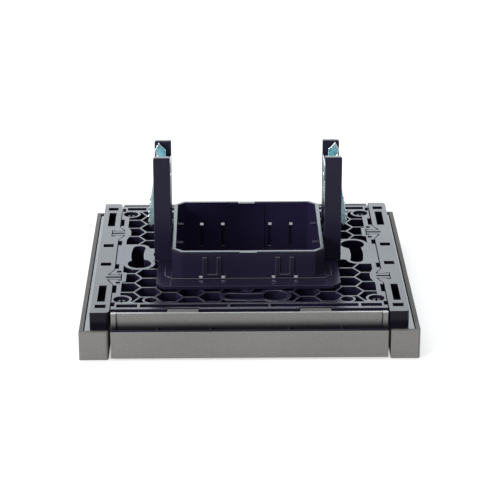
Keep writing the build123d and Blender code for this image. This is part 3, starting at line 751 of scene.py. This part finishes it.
cornerScrews = {
    "body": "plate",
    "slot": "dark_steel",
    "corners": (16, 32, 32),  # of the shank, the head and its crown
    "sizes": {
        "Spacing X": 66.0,
        "Spacing Y": 63.0,
        "Head Radius": 1.65,
        "Crown Radius": 1.1,
        "Head Foot": 8.5,
        "Head Top": 11.1,
        "Crown Height": 0.55,
        "Shank Radius": 1.2,
        "Shank Foot": 3.0,
        "Cross Length": 2.3,
        "Cross Width": 0.5,
        "Cross Depth": 1.0,
    },
}
screwSizes = {label: value * mm for label, value in cornerScrews["sizes"].items()}
cornerScrewTree = makeCornerScrewTree(cornerScrews)
cornerSet = growPiece("cornerScrews", cornerScrewTree, screwSizes, blackenedSteel)
settle(cornerSet, cornerScrews, "corner_screws")
print("corner screws placed")


# One strength for rays from the camera, another for rays off gloss or through glass, 0 for the rest
def seenDirectly(tree, strength, mirrorStrength, x, y):
    rays = placeNode(tree, "ShaderNodeLightPath", x - 200, y).outputs
    direct = mathNode(tree, "MULTIPLY", rays["Is Camera Ray"], strength, x, y)
    either = mathNode(tree, "MAXIMUM", rays["Is Glossy Ray"], rays["Is Transmission Ray"], x, y - 160)
    mirrored = mathNode(tree, "MULTIPLY", either, mirrorStrength, x + 80, y - 160)
    return mathNode(tree, "MAXIMUM", direct, mirrored, x + 160, y)


def plainFloor(look):
    mesh = bpy.data.meshes.new("studioFloor")
    half, height = look["half"], look["height"]
    corners = [(x * half, y * half, height) for x, y in ((-1, -1), (1, -1), (1, 1), (-1, 1))]
    mesh.from_pydata(corners, [], [(0, 1, 2, 3)])
    material = bpy.data.materials.new("paleFloor")
    material.use_nodes = True
    tree = material.node_tree
    tree.nodes.clear()
    output = placeNode(tree, "ShaderNodeOutputMaterial", 500, 0)
    matte = placeNode(tree, "ShaderNodeBsdfDiffuse", 0, 120)
    matte.inputs["Color"].default_value = (*look["colour"], 1.0)
    lift = placeNode(tree, "ShaderNodeEmission", 0, -60)
    lift.inputs["Color"].default_value = (1.0, 1.0, 1.0, 1.0)
    strength = seenDirectly(tree, look["lift"], look["mirrorLift"], -400, -60)
    tree.links.new(strength, lift.inputs["Strength"])
    both = placeNode(tree, "ShaderNodeAddShader", 250, 0)
    tree.links.new(matte.outputs[0], both.inputs[0])
    tree.links.new(lift.outputs[0], both.inputs[1])
    tree.links.new(both.outputs[0], output.inputs["Surface"])
    mesh.materials.append(material)
    floor = bpy.data.objects.new("studioFloor", mesh)
    bpy.context.scene.collection.objects.link(floor)


def whiteWorld(look):
    world = bpy.data.worlds.new("studioWorld")
    world.use_nodes = True
    tree = world.node_tree
    tree.nodes.clear()
    output = placeNode(tree, "ShaderNodeOutputWorld", 500, 0)
    back = placeNode(tree, "ShaderNodeBackground", 250, 0)
    back.inputs["Color"].default_value = (*look["colour"], 1.0)
    extra = seenDirectly(tree, 1.0 - look["fill"], look["mirrorLift"], -300, 0)
    tree.links.new(mathNode(tree, "ADD", extra, look["fill"], 50, 0), back.inputs["Strength"])
    tree.links.new(back.outputs[0], output.inputs["Surface"])
    bpy.context.scene.world = world


def softbox(name, look):
    light = bpy.data.lights.new(name, "AREA")
    light.shape = "RECTANGLE"
    light.size, light.size_y = look["size"]
    light.energy = look["power"]
    light.color = look["colour"]
    lamp = bpy.data.objects.new(name, light)
    lamp.location = look["place"]
    sight = Vector(look["aim"]) - Vector(look["place"])
    lamp.rotation_euler = sight.to_track_quat("-Z", "Y").to_euler()
    bpy.context.scene.collection.objects.link(lamp)


# Lengths of the stage, lights and camera are in metres
studioFloor = {
    "half": 3.0,
    "height": -0.0002,
    "colour": (0.55, 0.55, 0.55),
    "lift": 0.54,
    "mirrorLift": 0.06,
}
plainFloor(studioFloor)
studioWorld = {"colour": (1.0, 1.0, 1.0), "fill": 0.38, "mirrorLift": 0.25}
whiteWorld(studioWorld)
softboxes = {
    "backSoftbox": {
        "place": (-0.10, 1.05, 0.57), "aim": (0, 0, 0.02), "size": (1.4, 0.9),
        "power": 10.8, "colour": (0.86, 0.94, 1.0),
    },
    "topSoftbox": {
        "place": (-0.15, -0.05, 1.1), "aim": (0, 0, 0), "size": (0.9, 0.9),
        "power": 4.8, "colour": (1.0, 1.0, 1.0),
    },
    "leftSoftbox": {
        "place": (-0.9, -0.75, 0.45), "aim": (0, 0, 0.01), "size": (0.6, 0.6),
        "power": 13.0, "colour": (1.0, 0.99, 0.97),
    },
}
for name, look in softboxes.items():
    softbox(name, look)

# Camera fitted to the photo: angles and length of the line of sight to the origin, and the origin's
# place in the frame
photoCamera = {
    "yaw": 0.81,
    "dip": 22.70,
    "distance": 0.5445,
    "focal": 1974.0,  # in pixels, as the next three
    "centreX": 247.3,
    "centreY": 293.3,
    "frame": 500.0,
    "sensor": 36.0,
    "clipStart": 0.01,
}


def standCamera(look):
    yaw, dip = math.radians(look["yaw"]), math.radians(look["dip"])
    ahead = Vector((math.sin(yaw) * math.cos(dip), math.cos(yaw) * math.cos(dip), -math.sin(dip)))
    across = Vector((math.cos(yaw), -math.sin(yaw), 0.0))
    above = across.cross(ahead)
    middle = look["frame"] / 2
    aside = across * (middle - look["centreX"]) / look["focal"]
    upwards = above * (look["centreY"] - middle) / look["focal"]
    sight = ahead + aside + upwards
    data = bpy.data.cameras.new("photoCamera")
    data.sensor_width = look["sensor"]
    data.lens = look["focal"] * data.sensor_width / look["frame"]
    data.clip_start = look["clipStart"]
    camera = bpy.data.objects.new("photoCamera", data)
    camera.location = -ahead * look["distance"]
    camera.rotation_euler = sight.to_track_quat("-Z", "Y").to_euler()
    bpy.context.scene.collection.objects.link(camera)
    bpy.context.scene.camera = camera


standCamera(photoCamera)
bpy.context.scene.view_settings.view_transform = "Standard"
print("stage, light and camera set")
